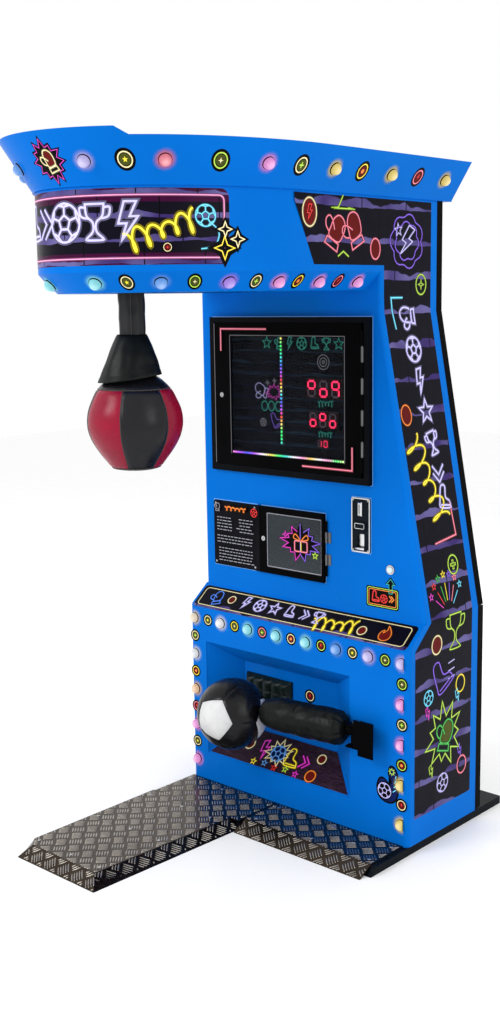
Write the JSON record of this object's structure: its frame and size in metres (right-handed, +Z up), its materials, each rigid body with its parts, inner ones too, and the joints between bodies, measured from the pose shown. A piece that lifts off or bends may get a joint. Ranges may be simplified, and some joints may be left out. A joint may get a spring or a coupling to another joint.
{
  "type": "boxing punch machine",
  "caption": "Arcade strength tester with a swinging punch bag under a lit head and a swinging kick ball in a niche, on treadplate platforms.",
  "frame": {"origin": "on the floor, midway across the cabinet and under its front panel", "axes": "+X to the right of a player who faces the machine, +Y to its back, +Z up"},
  "size_m": [0.869, 1.2621, 1.839],
  "materials": {
    "casing_blue": "satin blue powder coat",
    "frame_black": "fine-textured black powder coat",
    "base_black": "coarse black powder coat",
    "treadplate": "five-bar embossed, mill finish",
    "inner_steel": "zinc plated",
    "shaft_steel": "ground",
    "bearing_iron": "painted",
    "screw_steel": "zinc plated",
    "hinge_steel": "blackened",
    "lock_chrome": "polished",
    "coin_chrome": "polished",
    "coin_dark": "moulded",
    "lamp_clear": "frosted, lit from inside",
    "display_glass": "clear, slightly tinted",
    "print_board": "printed",
    "digit_red": "dark face with lit segments",
    "light_bar": "diffuser",
    "rules_print": "printed sheet under clear film",
    "button_clear": "clear cap",
    "bag_leather": "glossy synthetic leather",
    "pad_black": "soft synthetic leather",
    "ball_leather": "smooth bonded panels",
    "rubber_black": "moulded",
    "circuit_green": "circuit board"
  },
  "bodies": {
    "cabinet": {"base_tray": "base_black", "boxer_tread_plate": "treadplate", "boxer_platform_bearers": "inner_steel", "kicker_tread_plate": "treadplate", "lower_front_panel": "casing_blue", "console_panel": "casing_blue", "tower_front_panel": "casing_blue", "left_side_panel": "casing_blue", "right_side_panel": "casing_blue", "rear_upper_cover": "frame_black", "niche_tray": "casing_blue", "kick_bumper": "pad_black", "kicker_bracket": "frame_black", "kick_hinge_pin": "screw_steel", "head_skin": "casing_blue", "head_lower_band": "casing_blue", "head_underside": "casing_blue", "crown_band": "casing_blue", "crown_top_cover": "frame_black", "bag_bay": "frame_black", "pivot_bearings": "bearing_iron", "bag_stop_buffers": "rubber_black", "crown_lamps": "lamp_clear", "head_lamps": "lamp_clear", "cabinet_lamps": "lamp_clear", "display_case": "print_board", "score_digits": "digit_red", "led_light_bars": "light_bar", "prize_bin": "frame_black", "rules_panel": "rules_print", "coin_plate": "coin_dark", "coin_slot_insert": "coin_chrome", "coin_return_cup": "coin_dark", "coin_validator": "coin_dark", "cash_box": "inner_steel", "start_button_bezel": "lock_chrome", "control_board": "circuit_green", "power_supply": "inner_steel", "power_inlet": "coin_dark", "door_hinge_leaves": "hinge_steel", "hinge_pins": "hinge_steel", "panel_screws": "screw_steel"},
    "punch_arm": {"punch_shaft": "shaft_steel", "punch_arm_tube": "frame_black", "arm_sleeve": "pad_black", "sleeve_cuff": "pad_black", "punch_bag": "bag_leather"},
    "kick_arm": {"kick_arm": "frame_black", "kick_sleeve": "pad_black", "kick_ball": "ball_leather"},
    "display_door": {"display_door_frame": "frame_black", "display_glass": "display_glass"},
    "display_lock": {"display_lock": "lock_chrome"},
    "prize_door": {"prize_door_frame": "frame_black", "prize_door_window": "display_glass"},
    "prize_lock": {"prize_lock": "lock_chrome"},
    "rear_door": {"rear_door": "frame_black"},
    "start_button": {"start_button": "button_clear"},
    "reject_button": {"reject_button": "coin_dark"},
    "coin_flap": {"coin_return_flap": "coin_chrome"}
  },
  "joints": [
    {"name": "bag_swing", "type": "hinge", "parent": "cabinet", "child": "punch_arm", "pos_m": [-0.074, -0.495, 1.56], "axis": [1, 0, 0], "range_deg": [-10, 87]},
    {"name": "kick_arm_swing", "type": "hinge", "parent": "cabinet", "child": "kick_arm", "pos_m": [0.246, -0.022, 0.32], "axis": [0, 0, 1], "range_deg": [-3.5, 60]},
    {"name": "display_door_swing", "type": "hinge", "parent": "cabinet", "child": "display_door", "pos_m": [0.204, 0.0605, 1.195], "axis": [0, 0, 1], "range_deg": [0, 50]},
    {"name": "display_lock_turn", "type": "hinge", "parent": "display_door", "child": "display_lock", "pos_m": [-0.307, 0.061, 1.195], "axis": [0, 1, 0], "range_deg": [0, 90]},
    {"name": "prize_door_swing", "type": "hinge", "parent": "cabinet", "child": "prize_door", "pos_m": [0.072, 0.0705, 0.779], "axis": [0, 0, 1], "range_deg": [0, 105]},
    {"name": "prize_lock_turn", "type": "hinge", "parent": "prize_door", "child": "prize_lock", "pos_m": [-0.156, 0.065, 0.786], "axis": [0, 1, 0], "range_deg": [0, 90]},
    {"name": "rear_door_swing", "type": "hinge", "parent": "cabinet", "child": "rear_door", "pos_m": [-0.405, 0.36, 0.322], "axis": [0, 0, 1], "range_deg": [0, 110]},
    {"name": "start_button_press", "type": "slide", "parent": "cabinet", "child": "start_button", "axis": [0, 1, 0], "range_m": [0, 0.003], "stiffness_N_per_m": 400},
    {"name": "reject_button_press", "type": "slide", "parent": "cabinet", "child": "reject_button", "axis": [0, 1, 0], "range_m": [0, 0.004], "stiffness_N_per_m": 400},
    {"name": "coin_flap_swing", "type": "hinge", "parent": "cabinet", "child": "coin_flap", "pos_m": [0.1905, 0.08, 0.841], "axis": [1, 0, 0], "range_deg": [0, 60]}
  ]
}
